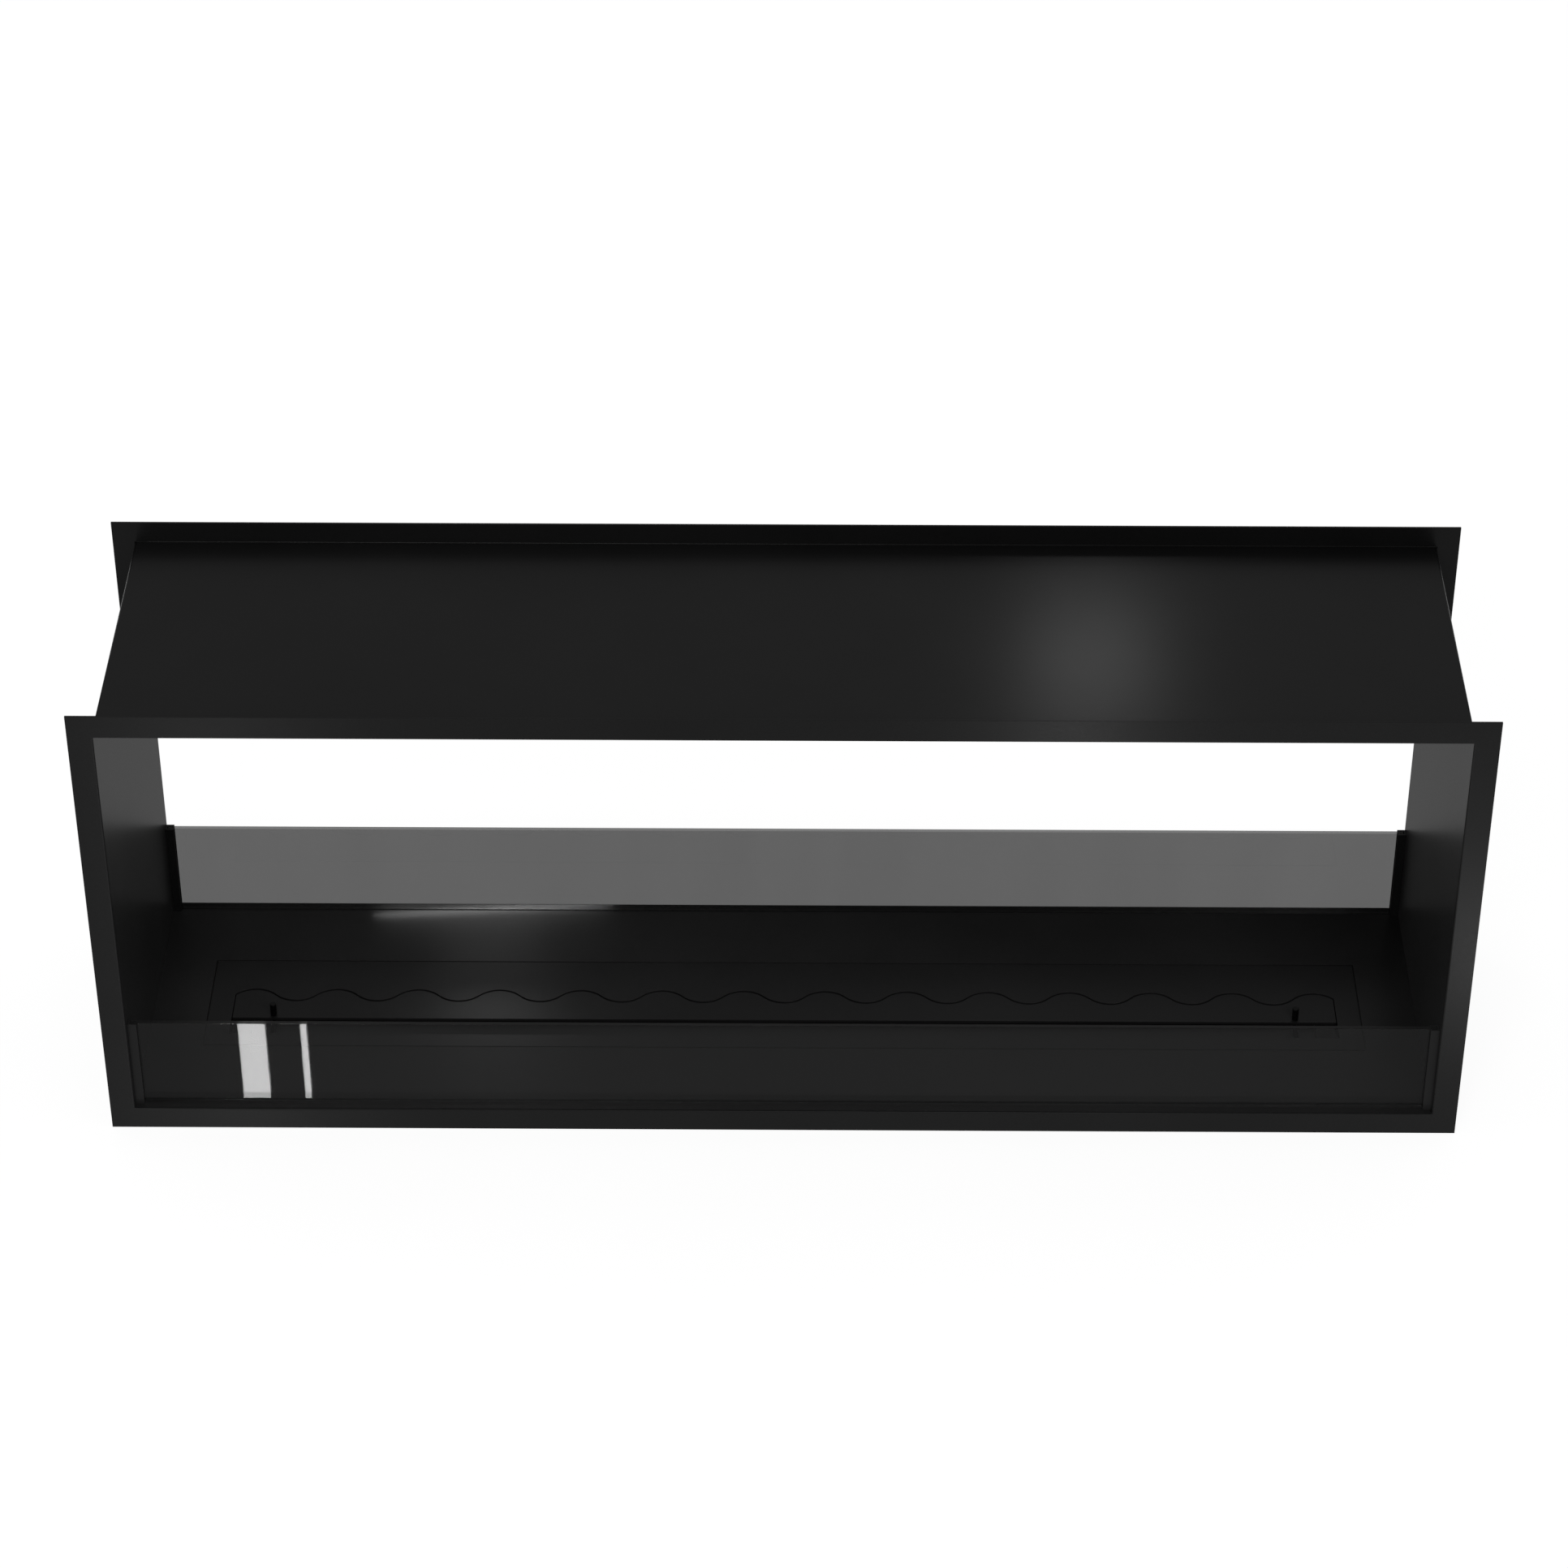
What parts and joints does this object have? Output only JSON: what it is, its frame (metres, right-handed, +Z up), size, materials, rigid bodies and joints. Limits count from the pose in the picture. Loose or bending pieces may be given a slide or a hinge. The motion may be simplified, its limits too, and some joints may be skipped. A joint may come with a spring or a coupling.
{
  "type": "fireplace insert",
  "caption": "Black see-through bioethanol fireplace insert: flanged steel sleeve open front and rear, low smoked-glass guard panes and a lift-out floor burner with a wavy slide lid.",
  "frame": {"origin": "centre of the footprint, level with the lower edges of the two flange frames", "axes": "+Z up, +X to the right seen from the front, front face towards -Y"},
  "size_m": [1.2, 0.3, 0.45],
  "materials": {
    "powder_coat": "satin black powder coat",
    "channel_coat": "satin black powder coat",
    "burner_coat": "satin heat-proof black",
    "knob_black": "satin black",
    "smoked_glass": "polished grey-tinted toughened glass",
    "seat_silicone": "matt",
    "stainless": "brushed, heat-dulled",
    "ceramic_wool": "fibrous matt"
  },
  "bodies": {
    "casing": {"front_frame": "powder_coat", "rear_frame": "powder_coat", "top_panel": "powder_coat", "floor_panel": "powder_coat", "left_side_panel": "powder_coat", "right_side_panel": "powder_coat", "front_left_channel": "channel_coat", "front_right_channel": "channel_coat", "rear_left_channel": "channel_coat", "rear_right_channel": "channel_coat", "front_seat_pads": "seat_silicone", "rear_seat_pads": "seat_silicone", "front_burner_ledge": "powder_coat", "rear_burner_ledge": "powder_coat", "left_burner_ledge": "powder_coat", "right_burner_ledge": "powder_coat"},
    "front_pane": {"front_pane": "smoked_glass"},
    "rear_pane": {"rear_pane": "smoked_glass"},
    "burner": {"burner_plate": "burner_coat", "fuel_tank": "stainless", "lid_deck": "burner_coat", "flame_grille": "stainless", "ceramic_wool_pad": "ceramic_wool", "left_lid_guide": "stainless", "right_lid_guide": "stainless"},
    "lid": {"slide_lid": "burner_coat", "left_knob": "knob_black", "right_knob": "knob_black", "lid_nuts": "stainless"}
  },
  "joints": [
    {"name": "front_pane_lift", "type": "slide", "parent": "casing", "child": "front_pane", "axis": [0, 0, 1], "range_m": [0, 0.12]},
    {"name": "rear_pane_lift", "type": "slide", "parent": "casing", "child": "rear_pane", "axis": [0, 0, 1], "range_m": [0, 0.12]},
    {"name": "burner_lift", "type": "slide", "parent": "casing", "child": "burner", "axis": [0, 0, 1], "range_m": [0, 0.06]},
    {"name": "lid_slide", "type": "slide", "parent": "burner", "child": "lid", "axis": [0, -1, 0], "range_m": [0, 0.022]}
  ]
}
